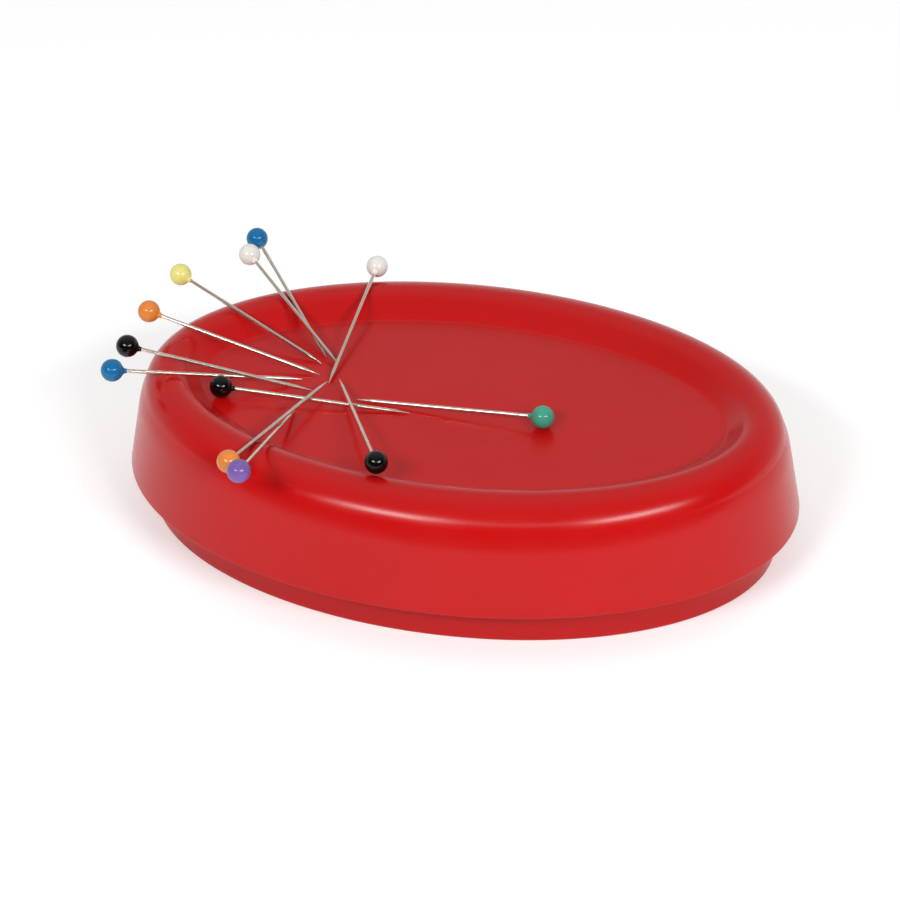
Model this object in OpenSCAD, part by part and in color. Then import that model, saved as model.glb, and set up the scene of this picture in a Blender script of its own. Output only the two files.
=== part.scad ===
// Magnetic pin bowl: an oval two-part moulding with two magnets under its dish,
// and twelve ball-head pins that the left magnet holds. Each moulding is drawn as
// a ring and a plate that meet face to face.
// The bowl's length runs along X and its underside stands on z = 0.

/* [Bowl] */
// Length over the skirt
bowl_l = 108; // [100:1:132]
// Width over the skirt
bowl_w = 74; // [66:1:90]
// Height of the rim's crest above the table
bowl_h = 24.5; // [20:0.5:32]
// Height of the skirt's lower edge above the table
skirt_z = 7.8; // [6:0.1:10]
// Lean of the skirt from upright, in degrees
skirt_draft = 10.5; // [4:0.5:14]
// Radius of the round rim
rim_r = 6; // [5:0.1:7.5]
// Depth of the dish below the crest
dish_depth = 3.2; // [2.4:0.1:4]
// Radius where the rim meets the dish
dish_fillet = 1.2; // [0.6:0.1:2]
// Wall of the upper moulding
shell_wall = 2; // [1.4:0.1:2.4]

/* [Base cover] */
// Gap between the top of the cover's wall and the shell at the ends
cover_gap_end = 0.2; // [0.1:0.1:1]
// Gap between the top of the cover's wall and the shell at the long sides
cover_gap_side = 1.3; // [0.2:0.1:2]
// Height of the cover's wall
cover_h = 14; // [11:0.5:15]
// Thickness of the cover's wall and floor
cover_wall = 2; // [1.4:0.1:2.6]

/* [Pegs and sockets] */
// Radius of each peg
peg_r = 1.95; // [1.5:0.05:2.4]
// Length of each peg above its shoulder
peg_l = 6; // [4:0.5:7]
// Height of a socket under the dish, down to the shoulder it stands on
socket_h = 9.3; // [7.5:0.1:11]
// Gap between an end socket and the collar beside it
socket_clear = 0.4; // [0.2:0.1:1]
// How far the side pegs stand in from the edge of the dish
peg_inset_side = 3; // [1:0.5:6]
// Gap round a peg in its socket
peg_gap = 0.05; // [0.03:0.01:0.15]
// Wall round a socket
socket_wall = 1.5; // [1.2:0.1:2]
// Gap between a peg's end and the roof of its socket
peg_end_gap = 0.3; // [0.2:0.1:1]

/* [Magnets] */
// Distance of each magnet's middle from the bowl's end
magnet_in = 32; // [30:0.5:34]
// Radius of a magnet
magnet_r = 10; // [7:0.5:10.5]
// Thickness of a magnet
magnet_t = 6; // [4:0.5:6.5]
// Gap round a magnet in its collar
magnet_gap = 0.15; // [0.1:0.05:0.4]
// Wall of the collar
collar_wall = 1.4; // [1:0.1:1.6]
// Height of the collar
collar_h = 4; // [3:0.5:5]
// Thickness of the foam pad under a magnet
pad_t = 2.5; // [1.5:0.5:3]
// Radius of the foam pad
pad_r = 8; // [6:0.5:9]
// Wall of the hollow stand under a foam pad
stand_wall = 1.6; // [1.2:0.1:2.4]

/* [Pins] */
// Length of a pin from its point to the top of its head
pin_l = 32; // [31:0.5:33]
// Diameter of the shank
shank_d = 0.6; // [0.5:0.05:0.7]
// Length of the ground point
point_l = 2.7; // [2:0.1:4]
// Diameter of the blunt tip
tip_d = 0.1; // [0.06:0.02:0.2]
// Diameter of the ball head
head_d = 3.6; // [3:0.1:4]
// Length of the small neck under the head
neck_l = 0.5; // [0.2:0.1:0.8]
// Diameter of the neck where the shank enters it
neck_d = 1; // [0.8:0.1:1.3]
// Diameter of the neck inside the head
neck_root_d = 1.8; // [1.4:0.1:2]
// How deep the shank goes into the head and its neck
shank_in_head = 2.4; // [1.5:0.1:3]

/* [Hidden] */
$fn = 96;
shell_red = [0.78, 0.09, 0.10];
cover_red = [0.70, 0.09, 0.10];
ferrite_grey = [0.20, 0.20, 0.21];
foam_grey = [0.45, 0.45, 0.46];
steel_grey = [0.72, 0.70, 0.66];
overlap = 0.5;
margin = 1;

// Each pin: name, head colour, point's x and y from the pole of the left magnet,
// least height of the point above the dish, heading in degrees, the gap that its shank
// keeps over the rim's crest where it reaches that far, and the pin that it lies over.
pins = [
    ["blue_pin_back",    [0.05, 0.32, 0.62], [-2.1,  7.2], 0.15,  129.5, 0.1],
    ["white_pin_left",   [0.93, 0.91, 0.90], [ 0.5,  5.2], 0.45,  136.0, 0.5],
    ["white_pin_back",   [0.93, 0.91, 0.90], [ 0.5, -0.2], 0.30,   91.0, 0.4],
    ["yellow_pin",       [0.93, 0.86, 0.42], [-2.4,  5.4], 0.15,  157.5, 0.3],
    ["orange_pin_left",  [0.93, 0.47, 0.13], [-1.6,  2.0], 0.15,  174.0, 0.7],
    ["black_pin_left",   [0.04, 0.04, 0.04], [-1.1, -3.4], 0.60, -174.5, 1.1],
    ["blue_pin_left",    [0.05, 0.32, 0.62], [-3.7, -0.4], 0.50, -156.5, 0.1],
    ["black_pin_inner",  [0.04, 0.04, 0.04], [15.2, -5.3], 0.20, -175.5, 0.1],
    ["orange_pin_front", [0.93, 0.47, 0.13], [ 0.7, -1.4], 1.40, -102.5, 0.1, "black_pin_inner"],
    ["purple_pin",       [0.42, 0.33, 0.68], [-2.4, -8.8], 0.15,  -88.5, 0.7],
    ["black_pin_front",  [0.04, 0.04, 0.04], [ 2.0,  0.6], 0.90,  -62.5, 0.3, "black_pin_inner"],
    ["green_pin",        [0.10, 0.53, 0.42], [ 6.0, -3.6], 0.20,   -0.5, 0.1]
];

// An oval of eight arcs in three radii, tangent where they meet, close to an ellipse.
// The arcs meet where the outline faces these angles from the long axis.
end_to_mid = 37;
mid_to_side = 67;
mid_facing = 52.5;
function mid_radius(a, b) =
    pow(a * b, 2) / pow(pow(a * cos(mid_facing), 2) + pow(b * sin(mid_facing), 2), 1.5);
function end_and_side(a, b) =
    let (
        m = mid_radius(a, b),
        x_end = 1 - cos(end_to_mid),
        x_side = cos(mid_to_side),
        y_end = sin(end_to_mid),
        y_side = 1 - sin(mid_to_side),
        x_left = a - m * (cos(end_to_mid) - cos(mid_to_side)),
        y_left = b - m * (sin(mid_to_side) - sin(end_to_mid)),
        d = x_end * y_side - x_side * y_end
    )
    [(x_left * y_side - x_side * y_left) / d, (x_end * y_left - y_end * x_left) / d];

// One quarter's arcs, each as centre, radius, first angle and sweep
function quarter(a, b) =
    let (
        m = mid_radius(a, b),
        r = end_and_side(a, b),
        c1 = [a - r[0], 0],
        c2 = c1 + (r[0] - m) * [cos(end_to_mid), sin(end_to_mid)]
    )
    [
        [c1, r[0], 0, end_to_mid],
        [c2, m, end_to_mid, mid_to_side - end_to_mid],
        [[0, b - r[1]], r[1], mid_to_side, 90 - mid_to_side]
    ];

// Points on the oval at a distance in from its outline
arc_steps = 4;
function quarter_points(a, b, inset) = [
    for (arc = quarter(a, b), k = [0 : arc_steps - 1])
        let (t = arc[2] + arc[3] * k / arc_steps)
        arc[0] + (arc[1] - inset) * [cos(t), sin(t)]
];
function reversed(list) = [for (k = [len(list) - 1 : -1 : 0]) list[k]];
function oval_points(a, b, inset) =
    let (
        q = concat(quarter_points(a, b, inset), [[0, b - inset]]),
        half = concat(q, [for (p = reversed(q)) if (p[0] > 0) [-p[0], p[1]]])
    )
    concat(half, [for (p = reversed(half)) if (p[1] > 0) [p[0], -p[1]]]);

// The rim's round section, in distance in from the outline and height
half_l = bowl_l / 2;
half_w = bowl_w / 2;
crest_z = bowl_h - rim_r;
crest_in = (crest_z - skirt_z) * tan(skirt_draft) + rim_r / cos(skirt_draft);
dish_z = bowl_h - dish_depth;
dish_under = dish_z - shell_wall;
fillet_in = crest_in + sqrt(pow(rim_r + dish_fillet, 2) - pow(dish_z + dish_fillet - crest_z, 2));

// Distance in from the outline to the inside of the skirt at a height
function wall_in(z) = (z - skirt_z) * tan(skirt_draft) + shell_wall / cos(skirt_draft);

// Points on an arc of the section, from one angle to another
function arc_points(centre, r, from, to, count) = [
    for (k = [0 : count])
        let (t = from + (to - from) * k / count)
        centre + r * [cos(t), sin(t)]
];

// The rim's section from the edge of the dish, over the crest, down the skirt and back inside
fillet_steps = 3;
rim_steps = 12;
inner_steps = 6;
rim_path =
    let (
        rim_centre = [crest_in, crest_z],
        inner_r = rim_r - shell_wall,
        skirt_turn = 180 - skirt_draft,
        fillet_turn = asin((dish_z + dish_fillet - crest_z) / (rim_r + dish_fillet)),
        under_turn = asin((dish_under - crest_z) / inner_r)
    )
    concat(
        arc_points([fillet_in, dish_z + dish_fillet], dish_fillet, -90, fillet_turn - 180, fillet_steps),
        arc_points(rim_centre, rim_r, fillet_turn, skirt_turn, rim_steps),
        [[0, skirt_z], [wall_in(skirt_z), skirt_z]],
        arc_points(rim_centre, inner_r, skirt_turn, under_turn, inner_steps),
        [[fillet_in, dish_under]]
    );

// A ring swept round the oval from a closed section
module swept_ring(a, b, path) {
    ring = len(oval_points(a, b, 0));
    count = len(path);
    polyhedron(
        points = [for (s = path, p = oval_points(a, b, s[0])) [p[0], p[1], s[1]]],
        faces = [
            for (i = [0 : count - 1], k = [0 : ring - 1])
                let (next = (k + 1) % ring, up = (i + 1) % count)
                [i * ring + k, i * ring + next, up * ring + next, up * ring + k]
        ]
    );
}

// A flat plate whose edge follows the oval at a distance in from its outline
module oval_plate(a, b, inset, low, high) {
    translate([0, 0, low])
        linear_extrude(high - low)
            polygon(oval_points(a, b, inset));
}

// The magnets hang under the dish in their collars. The end pegs stand just outside the collars.
magnet_x = half_l - magnet_in;
magnet_places = [[-magnet_x, 0], [magnet_x, 0]];
magnet_z = dish_under - magnet_t;
pad_z = magnet_z - pad_t;
collar_r = magnet_r + magnet_gap + collar_wall;
socket_r = peg_r + peg_gap + socket_wall;
shoulder_z = dish_under - socket_h;
peg_x = magnet_x + collar_r + socket_clear + socket_r;
peg_y = half_w - fillet_in - peg_inset_side;
peg_places = [[peg_x, 0], [-peg_x, 0], [0, peg_y], [0, -peg_y]];

module bowl_rim() {
    color(shell_red)
        swept_ring(half_l, half_w, rim_path);
}

module bowl_dish() {
    color(shell_red)
        difference() {
            union() {
                oval_plate(half_l, half_w, fillet_in, dish_under, dish_z);
                for (p = peg_places)
                    translate([p[0], p[1], shoulder_z])
                        cylinder(h = socket_h, r = socket_r);
                for (p = magnet_places)
                    translate([p[0], p[1], dish_under - collar_h])
                        difference() {
                            cylinder(h = collar_h + overlap, r = collar_r);
                            translate([0, 0, -margin])
                                cylinder(h = collar_h + margin, r = magnet_r + magnet_gap);
                        }
            }
            for (p = peg_places)
                translate([p[0], p[1], shoulder_z - margin])
                    cylinder(h = peg_l + peg_end_gap + margin, r = peg_r + peg_gap);
        }
}

// The base's wall stands just inside the skirt, round its floor
cover_a = half_l - wall_in(cover_h) - cover_gap_end;
cover_b = half_w - wall_in(cover_h) - cover_gap_side;
wall_path = [
    [cover_wall, cover_h],
    [0, cover_h],
    [0, 0],
    [cover_wall, 0]
];

module base_wall() {
    color(cover_red)
        swept_ring(cover_a, cover_b, wall_path);
}

module base_floor() {
    color(cover_red)
        union() {
            oval_plate(cover_a, cover_b, cover_wall, 0, cover_wall);
            for (p = peg_places)
                translate([p[0], p[1], cover_wall - overlap]) {
                    cylinder(h = shoulder_z - cover_wall + overlap, r = socket_r);
                    cylinder(h = shoulder_z - cover_wall + overlap + peg_l, r = peg_r);
                }
            for (p = magnet_places)
                translate([p[0], p[1], cover_wall - overlap])
                    difference() {
                        cylinder(h = pad_z - cover_wall + overlap, r = pad_r);
                        translate([0, 0, overlap])
                            cylinder(h = pad_z, r = pad_r - stand_wall);
                    }
        }
}

module magnet(side) {
    color(ferrite_grey)
        translate([side * magnet_x, 0, magnet_z])
            cylinder(h = magnet_t, r = magnet_r);
}

module foam_pad(side) {
    color(foam_grey)
        translate([side * magnet_x, 0, pad_z])
            cylinder(h = pad_t, r = pad_r);
}

// How a pin lies. Its axis runs from its point to the middle of its head.
shank_r = shank_d / 2;
head_r = head_d / 2;
axis_l = pin_l - head_r;
neck_z = axis_l - head_r - neck_l;
head_gap = 0.1;
cross_gap = 0.15;
first_tilt = 10;
pole = [-magnet_x, 0];
crest_a = half_l - crest_in;
crest_b = half_w - crest_in;
function place_of(p) = [pole[0] + p[2][0], pole[1] + p[2][1]];
function heading_of(p) = [cos(p[4]), sin(p[4])];

// Level distance from a pin's point to the crest, along its heading
function to_crest(p) =
    let (
        o = place_of(p),
        u = heading_of(p),
        qa = pow(u[0] / crest_a, 2) + pow(u[1] / crest_b, 2),
        qb = o[0] * u[0] / pow(crest_a, 2) + o[1] * u[1] / pow(crest_b, 2),
        qc = pow(o[0] / crest_a, 2) + pow(o[1] / crest_b, 2) - 1
    )
    (sqrt(qb * qb - qa * qc) - qb) / qa;

// Tilt at which the shank passes over the round crest with its gap, for a point at height z
function shank_tilt(p, z, guess) =
    atan2(crest_z + (rim_r + shank_r + p[5]) / cos(guess) - z, to_crest(p));

// Distance in from the outline to a place, measured from the middle of the arc that faces it
function inset_at(place) =
    concat(
        [for (arc = quarter(half_l, half_w))
            let (d = [abs(place[0]), abs(place[1])] - arc[0], t = atan2(d[1], d[0]))
            if (t >= arc[2] && t <= arc[2] + arc[3]) arc[1] - norm(d)],
        [half_w]
    )[0];

// Tilt at which the head lies on the rim or, where it doesn't reach the rim, on the dish.
// The head's place depends on the tilt, so each round starts from the last one's tilt.
function head_tilt(p, z, guess, rounds = 4) =
    rounds == 0 ? guess :
    let (
        head = place_of(p) + axis_l * cos(guess) * heading_of(p),
        reach = rim_r + head_r + head_gap,
        off = inset_at(head) - crest_in,
        on_rim = abs(off) < reach ? crest_z + sqrt(reach * reach - off * off) : 0,
        on_dish = dish_z + head_r + head_gap
    )
    head_tilt(p, z, asin((max(on_rim, on_dish) - z) / axis_l), rounds - 1);

// A pin whose shank crosses the crest leans on it, and any other lies on its head
function tilt_from(p, z) =
    to_crest(p) < axis_l - head_r
        ? max(head_tilt(p, z, first_tilt), shank_tilt(p, z, shank_tilt(p, z, first_tilt)))
        : head_tilt(p, z, first_tilt);

// Level distances from the points of two pins to where they cross, seen from above
function crossing(p, q) =
    let (
        d = place_of(q) - place_of(p),
        u = heading_of(p),
        v = heading_of(q),
        turn = u[0] * v[1] - u[1] * v[0]
    )
    [(d[0] * v[1] - d[1] * v[0]) / turn, (d[0] * u[1] - d[1] * u[0]) / turn];

// Height of a pin's point: as given, or higher where the pin would meet the one it lies over
function point_z(p) =
    let (
        z = dish_z + p[3],
        under = [for (q = pins) if (q[0] == p[6]) q]
    )
    len(under) == 0 ? z :
    let (
        q = under[0],
        at = crossing(p, q),
        axis_under = point_z(q) + at[1] * tan(tilt_of(q)),
        axis_here = z + at[0] * tan(tilt_from(p, z))
    )
    z + max(0, axis_under + shank_d + cross_gap - axis_here) / (1 - at[0] / axis_l);
function tilt_of(p) = tilt_from(p, point_z(p));
function point_of(p) = concat(place_of(p), point_z(p));

module along_pin(p) {
    translate(point_of(p))
        rotate([0, 90 - tilt_of(p), p[4]])
            children();
}

module pin_shank(p) {
    color(steel_grey)
        along_pin(p) {
            cylinder(h = point_l, r1 = tip_d / 2, r2 = shank_r);
            translate([0, 0, point_l])
                cylinder(h = neck_z + shank_in_head - point_l, r = shank_r);
        }
}

module pin_head(p) {
    color(p[1])
        along_pin(p)
            difference() {
                union() {
                    translate([0, 0, axis_l])
                        sphere(head_r);
                    translate([0, 0, neck_z])
                        cylinder(h = neck_l * 2, r1 = neck_d / 2, r2 = neck_root_d / 2);
                }
                translate([0, 0, neck_z - margin])
                    cylinder(h = shank_in_head + margin, r = shank_r);
            }
}

bowl_rim();
bowl_dish();
base_wall();
base_floor();
magnet(-1);  // left_magnet
magnet(1);  // right_magnet
foam_pad(-1);  // left_foam_pad
foam_pad(1);  // right_foam_pad
for (p = pins) {
    pin_shank(p);
    pin_head(p);
}
for (p = pins)
    echo(pin = p[0], point = point_of(p), tilt = tilt_of(p), heading = p[4]);
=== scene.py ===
# %% [markdown]
# A magnetic pin bowl
#
# This lesson makes the looks of an oval plastic bowl that holds dressmaking pins on hidden magnets.
# The bowl is two mouldings: a shell with a round rim and a shallow dish, and a base that closes it.
# Twelve pins with ball heads lie with their points together, left of the middle of the dish.
# The construction model gives every piece its size and place. Here each piece gets its fine shape
# and its finish, and nothing is moved.

# %% Load the construction model
import math

import bmesh
import bpy
from mathutils import Matrix, Vector


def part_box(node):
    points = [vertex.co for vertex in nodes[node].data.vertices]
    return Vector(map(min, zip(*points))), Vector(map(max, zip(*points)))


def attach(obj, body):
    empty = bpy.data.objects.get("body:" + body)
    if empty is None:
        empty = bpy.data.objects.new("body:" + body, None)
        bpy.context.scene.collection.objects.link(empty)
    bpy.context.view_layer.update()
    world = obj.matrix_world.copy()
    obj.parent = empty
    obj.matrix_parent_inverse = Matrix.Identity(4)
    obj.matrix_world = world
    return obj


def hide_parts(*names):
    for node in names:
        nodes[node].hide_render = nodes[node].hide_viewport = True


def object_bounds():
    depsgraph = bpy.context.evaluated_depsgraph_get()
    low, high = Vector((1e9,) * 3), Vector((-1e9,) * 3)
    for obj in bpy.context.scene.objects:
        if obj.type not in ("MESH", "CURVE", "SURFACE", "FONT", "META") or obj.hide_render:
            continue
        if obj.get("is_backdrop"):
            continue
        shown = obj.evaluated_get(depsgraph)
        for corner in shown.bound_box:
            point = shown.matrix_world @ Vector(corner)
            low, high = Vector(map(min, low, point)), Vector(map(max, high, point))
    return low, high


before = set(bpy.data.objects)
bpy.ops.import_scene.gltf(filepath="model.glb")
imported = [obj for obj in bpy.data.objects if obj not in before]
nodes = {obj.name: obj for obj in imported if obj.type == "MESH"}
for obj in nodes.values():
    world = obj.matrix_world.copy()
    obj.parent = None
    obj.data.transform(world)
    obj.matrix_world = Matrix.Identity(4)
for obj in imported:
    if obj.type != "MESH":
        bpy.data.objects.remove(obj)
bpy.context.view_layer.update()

# %% [markdown]
# The camera comes first, because every later choice is judged through it. The picture was taken
# from in front with a long lens, about a third of the way up, and leaning by half a degree.
# A constraint could aim it at the bowl, but would hide the lean. A camera that is turned in three
# steps (round the table, up, and then about its own axis) keeps each of those angles as a number
# that can be read and changed by itself.

# %% Camera
VIEW_AZIMUTH = math.radians(15.25)
VIEW_ELEVATION = math.radians(33.84)
VIEW_LEAN = math.radians(-0.63)
VIEW_DISTANCE = 0.48386
VIEW_TARGET = Vector((-0.00317, 0.00504, 0.00845))
LENS_LENGTH = 120.48
SENSOR_WIDTH = 36.0
CLIP_START = 0.01

view_turn = (
    Matrix.Rotation(VIEW_AZIMUTH, 4, "Z")
    @ Matrix.Rotation(math.pi / 2 - VIEW_ELEVATION, 4, "X")
    @ Matrix.Rotation(VIEW_LEAN, 4, "Z")
)
view_back = view_turn.to_3x3() @ Vector((0, 0, 1))
camera_data = bpy.data.cameras.new("camera")
camera_data.lens = LENS_LENGTH
camera_data.sensor_width = SENSOR_WIDTH
camera_data.clip_start = CLIP_START
camera = bpy.data.objects.new("camera", camera_data)
camera.matrix_world = Matrix.Translation(VIEW_TARGET + VIEW_DISTANCE * view_back) @ view_turn
bpy.context.scene.collection.objects.link(camera)
bpy.context.scene.camera = camera
print("camera at", tuple(camera.matrix_world.translation))

# %% [markdown]
# Nearly every piece here is one section carried round an oval or a circle: the shell, the base,
# the pegs, the magnets, and each pin's wire and ball. So one Geometry Nodes tree makes them all.
# It takes a drawn section, whose first number is the distance in from the outline and whose second
# is the height, and sweeps it round an oval. An end of the section that stops short of the middle
# leaves an open edge, which the tree draws in to a point, and so closes as a flat. A lathe or a
# Screw modifier would do for the round pieces, but not for the oval ones, where the section has to
# stay square to the outline all the way round.

# %% Helpers for node trees
def add_node(tree, kind, inputs=None, **settings):
    """Adds a node, sets its options, and links or sets its inputs."""
    node = tree.nodes.new(kind)
    for name, value in settings.items():
        setattr(node, name, value)
    for key, value in (inputs or {}).items():
        if isinstance(value, bpy.types.NodeSocket):
            tree.links.new(value, node.inputs[key])
        else:
            node.inputs[key].default_value = value
    return node


def maths(tree, operation, *values):
    """One step of arithmetic on sockets or numbers."""
    return add_node(tree, "ShaderNodeMath", dict(enumerate(values)), operation=operation).outputs[0]


# %% [markdown]
# The tree's inputs are the sizes that a maker would name: half the length and half the width of
# the outline, how many steps go round it, and where the finished piece is placed and turned.
# The outline is a circle of steps, stretched to the oval before the sweep, so the section itself
# is never stretched. The tree also writes down, at each point, how far along the section it lies
# and where round the circle, so that a finish such as drawn wire can follow the surface.

# %% The sweeping tree
MERGE_DISTANCE = 0.000001


def sweeping_tree():
    """Builds the tree that sweeps a section round an oval, closes it and puts it in place."""
    tree = bpy.data.node_groups.new("sweep_round_oval", "GeometryNodeTree")
    tree.is_modifier = True
    wanted = (
        ("Section", "NodeSocketGeometry"),
        ("Half Length", "NodeSocketFloat"),
        ("Half Width", "NodeSocketFloat"),
        ("Steps", "NodeSocketInt"),
        ("Place", "NodeSocketVector"),
        ("Turn", "NodeSocketVector"),
        ("Finish", "NodeSocketMaterial"),
    )
    for name, kind in wanted:
        tree.interface.new_socket(name, in_out="INPUT", socket_type=kind)
    tree.interface.new_socket("Piece", in_out="OUTPUT", socket_type="NodeSocketGeometry")
    given = add_node(tree, "NodeGroupInput").outputs

    circle = add_node(
        tree, "GeometryNodeCurvePrimitiveCircle", {"Resolution": given["Steps"], "Radius": 1.0}
    )
    position = add_node(tree, "GeometryNodeInputPosition").outputs[0]
    stretch = add_node(
        tree, "ShaderNodeCombineXYZ", {"X": given["Half Length"], "Y": given["Half Width"]}
    ).outputs[0]
    stretched = add_node(
        tree, "ShaderNodeVectorMath", {0: position, 1: stretch}, operation="MULTIPLY"
    )
    rounded = add_node(
        tree,
        "GeometryNodeStoreNamedAttribute",
        {"Geometry": circle.outputs[0], "Name": "round", "Value": position},
        data_type="FLOAT_VECTOR",
        domain="POINT",
    )
    outline = add_node(
        tree, "GeometryNodeSetPosition", {"Geometry": rounded.outputs[0], "Position": stretched.outputs[0]}
    )
    upright = add_node(tree, "GeometryNodeSetCurveNormal", {"Curve": outline.outputs[0]}, mode="Z_UP")
    section = add_node(tree, "GeometryNodeMeshToCurve", {"Mesh": given["Section"]})
    length = add_node(tree, "GeometryNodeSplineParameter").outputs["Length"]
    measured = add_node(
        tree,
        "GeometryNodeStoreNamedAttribute",
        {"Geometry": section.outputs[0], "Name": "along", "Value": length},
        data_type="FLOAT",
        domain="POINT",
    )
    swept = add_node(
        tree,
        "GeometryNodeCurveToMesh",
        {"Curve": upright.outputs[0], "Profile Curve": measured.outputs[0]},
    )

    neighbours = add_node(tree, "GeometryNodeInputMeshEdgeNeighbors").outputs[0]
    is_open = add_node(
        tree, "FunctionNodeCompare", {2: neighbours, 3: 1}, data_type="INT", operation="EQUAL"
    )
    merged = add_node(
        tree, "GeometryNodeMergeByDistance", {"Geometry": swept.outputs[0], "Distance": MERGE_DISTANCE}
    )
    flats = add_node(
        tree,
        "GeometryNodeExtrudeMesh",
        {"Mesh": merged.outputs[0], "Selection": is_open.outputs[0], "Offset Scale": 0.0},
        mode="EDGES",
    )
    drawn_in = add_node(
        tree, "ShaderNodeVectorMath", {0: position, 1: (0, 0, 1)}, operation="MULTIPLY"
    )
    closed = add_node(
        tree,
        "GeometryNodeSetPosition",
        {"Geometry": flats.outputs[0], "Selection": flats.outputs[1], "Position": drawn_in.outputs[0]},
    )
    whole = add_node(
        tree, "GeometryNodeMergeByDistance", {"Geometry": closed.outputs[0], "Distance": MERGE_DISTANCE}
    )
    placed = add_node(
        tree,
        "GeometryNodeTransform",
        {"Geometry": whole.outputs[0], "Translation": given["Place"], "Rotation": given["Turn"]},
    )
    smooth = add_node(tree, "GeometryNodeSetShadeSmooth", {"Geometry": placed.outputs[0]})
    real = add_node(tree, "GeometryNodeRealizeInstances", {"Geometry": smooth.outputs[0]})
    finished = add_node(
        tree, "GeometryNodeSetMaterial", {"Geometry": real.outputs[0], "Material": given["Finish"]}
    )
    add_node(tree, "NodeGroupOutput", {0: finished.outputs[0]})
    return tree


SWEEP = sweeping_tree()
SWEEP_INPUTS = {
    item.name: item.identifier for item in SWEEP.interface.items_tree if item.in_out == "INPUT"
}
print("the sweeping tree takes", ", ".join(SWEEP_INPUTS))

# %% [markdown]
# A section is what a knife cut through the wall would show. It is drawn as a chain of points, with
# its round stretches worked out from a centre, a radius and two angles. A curve could be traced by
# hand instead, but this way keeps the rim's radius and the lean of the skirt as numbers, so that the
# highlight along the shoulder can be tuned by changing one of them.

# %% Drawing sections
def arc(centre, radius, start, end, steps):
    """Points on an arc. The angles are in degrees, and run the short way from start to end."""
    angles = [math.radians(start + (end - start) * k / steps) for k in range(steps + 1)]
    return [(centre[0] + radius * math.cos(a), centre[1] + radius * math.sin(a)) for a in angles]


def corner(point, before, after, radius, steps=6):
    """Rounds a corner of the section between the directions to its neighbours."""
    point, before, after = Vector(point), Vector(before), Vector(after)
    first = (before - point).normalized()
    second = (after - point).normalized()
    half = math.acos(max(-1.0, min(1.0, first.dot(second)))) / 2
    centre = point + (first + second).normalized() * radius / math.sin(half)
    start = point + first * radius / math.tan(half) - centre
    end = point + second * radius / math.tan(half) - centre
    sweep = math.degrees(math.atan2(start.cross(end), start.dot(end)))
    begin = math.degrees(math.atan2(start.y, start.x))
    return arc(centre, radius, begin, begin + sweep, steps)


def supported(section, reach=0.00025, longest=0.0011):
    """Puts a point near both ends of each long stretch, so that smooth shading stays flat between."""
    points = [section[0]]
    for before, after in zip(section, section[1:]):
        span = math.dist(before, after)
        if span > longest:
            for part in (reach / span, 1 - reach / span):
                points.append(tuple(b + (a - b) * part for b, a in zip(before, after)))
        points.append(after)
    return points


def swept(name, section, half_length, half_width, steps, finish, place=(0, 0, 0), turn=(0, 0, 0)):
    """Sweeps a section round an oval and returns a plain mesh object."""
    section = supported(section)
    chain = bpy.data.meshes.new(name + "_section")
    links = [(k, k + 1) for k in range(len(section) - 1)]
    chain.from_pydata([(-inset, -height, 0) for inset, height in section], links, [])
    carrier = bpy.data.objects.new(name + "_section", chain)
    bpy.context.scene.collection.objects.link(carrier)
    modifier = carrier.modifiers.new("sweep", "NODES")
    modifier.node_group = SWEEP
    values = {
        "Half Length": half_length,
        "Half Width": half_width,
        "Steps": steps,
        "Place": place,
        "Turn": turn,
        "Finish": finish,
    }
    for label, value in values.items():
        modifier[SWEEP_INPUTS[label]] = value
    evaluated = carrier.evaluated_get(bpy.context.evaluated_depsgraph_get())
    mesh = bpy.data.meshes.new_from_object(evaluated)
    bpy.data.objects.remove(carrier)
    bpy.data.meshes.remove(chain)
    shape = bmesh.new()
    shape.from_mesh(mesh)
    bmesh.ops.recalc_face_normals(shape, faces=shape.faces)
    shape.to_mesh(mesh)
    shape.free()
    mesh.name = name
    piece = bpy.data.objects.new(name, mesh)
    bpy.context.scene.collection.objects.link(piece)
    return piece


def turned(name, profile, finish, place=(0, 0, 0), turn=(0, 0, 0), steps=64):
    """Sweeps a profile round a circle. The profile gives radius and height."""
    outer = max(radius for radius, height in profile)
    section = [(outer - radius, height) for radius, height in profile]
    return swept(name, section, outer, outer, steps, finish, place, turn)


# %% [markdown]
# The bowl, its rim and its dish are one moulding in bright red plastic, and the base is a second
# moulding of the same stuff. Such plastic is coloured right through, so its base colour hardly
# varies, and what makes it read as plastic is the surface: a satin gloss, with the faint unevenness
# of a moulded wall and a finer grain. Three sizes of noise carry these: a broad one in the colour, a
# middle one in the roughness and in a very shallow bump, and a fine one in the bump alone. An image
# texture could do the same, but would need a UV map.

# %% Helpers for materials
def new_material(name):
    """An empty material with its principled shader and the object's own coordinates."""
    material = bpy.data.materials.new(name)
    material.use_nodes = True
    tree = material.node_tree
    shader = tree.nodes["Principled BSDF"]
    place = add_node(tree, "ShaderNodeTexCoord").outputs["Object"]
    return material, tree, shader, place


def noise(tree, place, scale, detail=3.0, roughness=0.5):
    """A noise of about a given number of features to the metre."""
    return add_node(
        tree,
        "ShaderNodeTexNoise",
        {"Vector": place, "Scale": scale, "Detail": detail, "Roughness": roughness},
    ).outputs[0]


def remap(tree, value, low, high, from_low=0.3, from_high=0.7):
    """Spreads a value over another range, and holds it at the ends."""
    return add_node(
        tree,
        "ShaderNodeMapRange",
        {"Value": value, "From Min": from_low, "From Max": from_high, "To Min": low, "To Max": high},
    ).outputs[0]


def tinted(tree, colour, amount):
    """A colour made lighter or darker by a factor that varies over the surface."""
    return add_node(
        tree, "ShaderNodeVectorMath", {0: colour, "Scale": amount}, operation="SCALE"
    ).outputs[0]


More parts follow.
